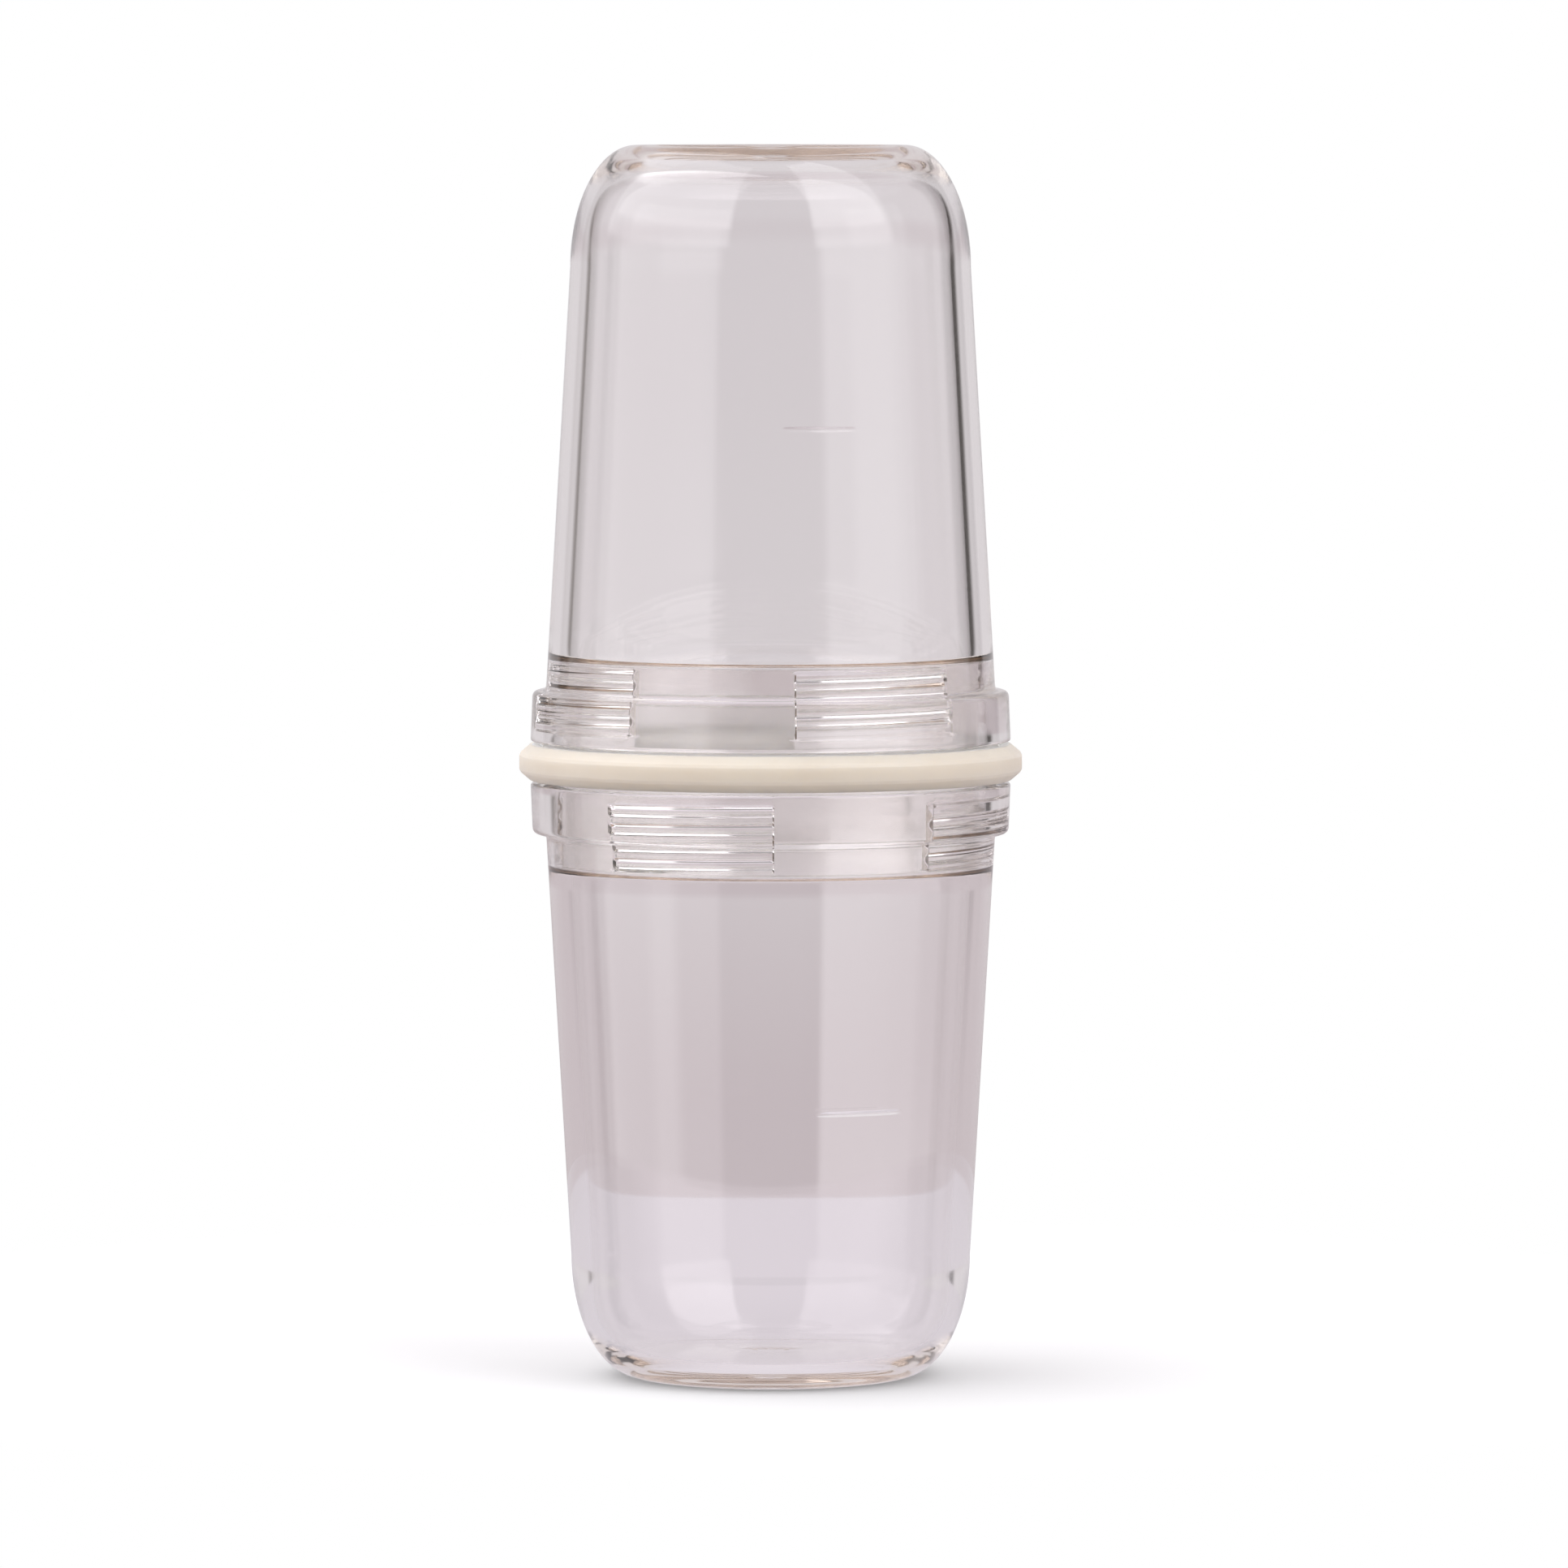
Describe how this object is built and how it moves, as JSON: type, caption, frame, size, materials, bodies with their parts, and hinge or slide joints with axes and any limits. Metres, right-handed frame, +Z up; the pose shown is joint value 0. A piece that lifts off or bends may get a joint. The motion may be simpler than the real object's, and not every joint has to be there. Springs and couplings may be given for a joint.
{
  "type": "pill crusher vessel",
  "caption": "Clear empty twin-cup vessel: two tapered plastic cups screwed mouth to mouth on a threaded sleeve, with an ivory ring round the joint.",
  "frame": {"origin": "centre of the lower cup's flat end, which stands on z = 0", "axes": "+Z up along the vessel's axis, -Y towards the viewer, +X to the viewer's right"},
  "size_m": [0.062, 0.062, 0.1518],
  "materials": {
    "clear_plastic": "polished clear moulded plastic with a faint lilac-grey cast",
    "clear_sleeve": "clear moulded plastic, threads slightly less polished",
    "ivory_plastic": "satin ivory",
    "seal_silicone": "translucent silicone"
  },
  "bodies": {
    "lower_cup": {"lower_cup": "clear_plastic"},
    "lower_seal": {"lower_seal": "seal_silicone"},
    "coupling": {"connector": "clear_sleeve", "centre_ring": "ivory_plastic"},
    "upper_seal": {"upper_seal": "seal_silicone"},
    "upper_cup": {"upper_cup": "clear_plastic"}
  },
  "joints": [
    {"name": "lower_rise", "type": "slide", "parent": "lower_cup", "child": "lower_seal", "axis": [0, 0, 1], "range_m": [0, 0.01722]},
    {"name": "lower_unscrew", "type": "hinge", "parent": "lower_seal", "child": "coupling", "pos_m": [0, 0, 0.0759], "axis": [0, 0, 1], "range_deg": [0, 2880]},
    {"name": "upper_rise", "type": "slide", "parent": "coupling", "child": "upper_seal", "axis": [0, 0, 1], "range_m": [0, 0.01722]},
    {"name": "upper_unscrew", "type": "hinge", "parent": "upper_seal", "child": "upper_cup", "pos_m": [0, 0, 0.0759], "axis": [0, 0, 1], "range_deg": [0, 2880]}
  ],
  "couplings": [
    {"joint": "lower_rise", "follows": "lower_unscrew", "m_per_rad": 0.00034218},
    {"joint": "upper_rise", "follows": "upper_unscrew", "m_per_rad": 0.00034218}
  ]
}
